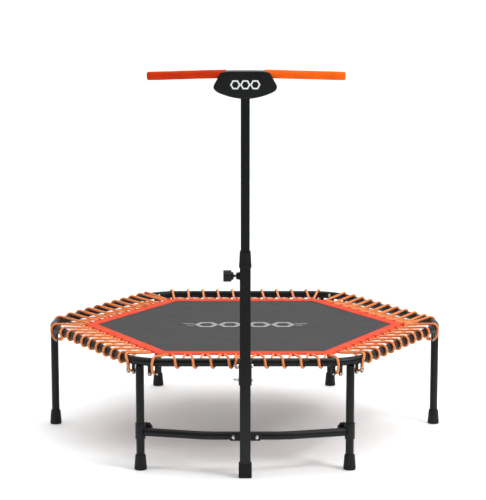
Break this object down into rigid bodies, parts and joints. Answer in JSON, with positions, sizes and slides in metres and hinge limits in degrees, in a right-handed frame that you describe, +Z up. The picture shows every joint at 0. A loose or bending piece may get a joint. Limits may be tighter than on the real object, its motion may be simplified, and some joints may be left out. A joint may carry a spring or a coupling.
{
  "type": "mini trampoline",
  "caption": "Hexagonal mini trampoline with rope-hung mat, straight legs and a height-adjustable T-handle on a square upright.",
  "frame": {"origin": "on the floor under the middle of the whole object's box", "axes": "+Z up, +X along the handlebar, the handle stands on the -Y side"},
  "size_m": [1.291, 1.2261, 1.1985],
  "materials": {
    "frame_steel": "semi-gloss powder coat",
    "leg_steel": "semi-gloss powder coat",
    "pole_steel": "semi-gloss powder coat",
    "brace_steel": "semi-gloss powder coat",
    "foot_rubber": "matt moulded rubber",
    "pole_foot_rubber": "matt moulded rubber",
    "rope_cord": "braided elastic cord",
    "mat_weave": "woven mat fabric",
    "border_webbing": "woven webbing",
    "collar_plastic": "moulded plastic",
    "zinc_fastener": "zinc plated",
    "bush_steel": "plain steel",
    "pin_steel": "plain steel",
    "knob_plastic": "moulded plastic",
    "bar_steel": "semi-gloss powder coat",
    "grip_foam_left": "foam grip",
    "grip_foam_right": "foam grip",
    "cover_plastic": "satin moulded plastic"
  },
  "bodies": {
    "frame": {"brace_bolt_left": "zinc_fastener", "brace_bolt_right": "zinc_fastener", "brace_nut_left": "zinc_fastener", "brace_nut_right": "zinc_fastener", "brace_sleeve_left": "brace_steel", "brace_sleeve_right": "brace_steel", "bracket_bolt_lower": "zinc_fastener", "bracket_bolt_upper": "zinc_fastener", "bracket_nut_lower": "zinc_fastener", "bracket_nut_upper": "zinc_fastener", "foot_back_left": "foot_rubber", "foot_back_right": "foot_rubber", "foot_front_left": "foot_rubber", "foot_front_right": "foot_rubber", "foot_left": "foot_rubber", "foot_right": "foot_rubber", "frame_segment_back_left": "frame_steel", "frame_segment_back_right": "frame_steel", "frame_segment_front_left": "frame_steel", "frame_segment_front_right": "frame_steel", "frame_segment_left": "frame_steel", "frame_segment_right": "frame_steel", "front_brace": "brace_steel", "leg_back_left": "leg_steel", "leg_back_right": "leg_steel", "leg_front_left": "leg_steel", "leg_front_right": "leg_steel", "leg_left": "leg_steel", "leg_right": "leg_steel", "lower_pole": "pole_steel", "pole_bracket": "pole_steel", "pole_collar": "collar_plastic", "pole_foot": "pole_foot_rubber", "rope_back": "rope_cord", "rope_back_left": "rope_cord", "rope_back_right": "rope_cord", "rope_front": "rope_cord", "rope_front_left": "rope_cord", "rope_front_right": "rope_cord"},
    "mat": {"mat": "mat_weave", "mat_border": "border_webbing"},
    "handle": {"upper_pole": "pole_steel", "handle_bar": "bar_steel", "handle_grip_left": "grip_foam_left", "handle_grip_right": "grip_foam_right", "handle_cover_front": "cover_plastic", "handle_cover_rear": "cover_plastic"},
    "lock_bush": {"lock_bush": "bush_steel", "lock_spring": "pin_steel"},
    "lock_pin": {"lock_pin": "pin_steel", "lock_knob": "knob_plastic"},
    "clamp_knob_left": {"clamp_knob_left": "knob_plastic"},
    "clamp_knob_right": {"clamp_knob_right": "knob_plastic"}
  },
  "joints": [
    {"name": "mat_bounce", "type": "slide", "parent": "frame", "child": "mat", "axis": [0, 0, 1], "range_m": [-0.12, 0.02], "stiffness_N_per_m": 5000, "deforming": ["rope_back", "rope_back_left", "rope_back_right", "rope_front", "rope_front_left", "rope_front_right"]},
    {"name": "handle_height", "type": "slide", "parent": "frame", "child": "handle", "axis": [0, 0, 1], "range_m": [-0.166, 0.166]},
    {"name": "lock_turn", "type": "hinge", "parent": "frame", "child": "lock_bush", "pos_m": [-0.02, -0.59357, 0.602], "axis": [-1, 0, 0], "range_deg": [-540, 0]},
    {"name": "lock_pull", "type": "slide", "parent": "lock_bush", "child": "lock_pin", "axis": [-1, 0, 0], "range_m": [0, 0.008], "stiffness_N_per_m": 600, "springref_m": -0.006, "deforming": ["lock_spring"]},
    {"name": "clamp_turn_left", "type": "hinge", "parent": "frame", "child": "clamp_knob_left", "pos_m": [-0.31373, -0.51496, 0.1185], "axis": [0.5, 0.866, 0], "continuous": true},
    {"name": "clamp_turn_right", "type": "hinge", "parent": "frame", "child": "clamp_knob_right", "pos_m": [0.31373, -0.51496, 0.1185], "axis": [-0.5, 0.866, 0], "continuous": true}
  ]
}
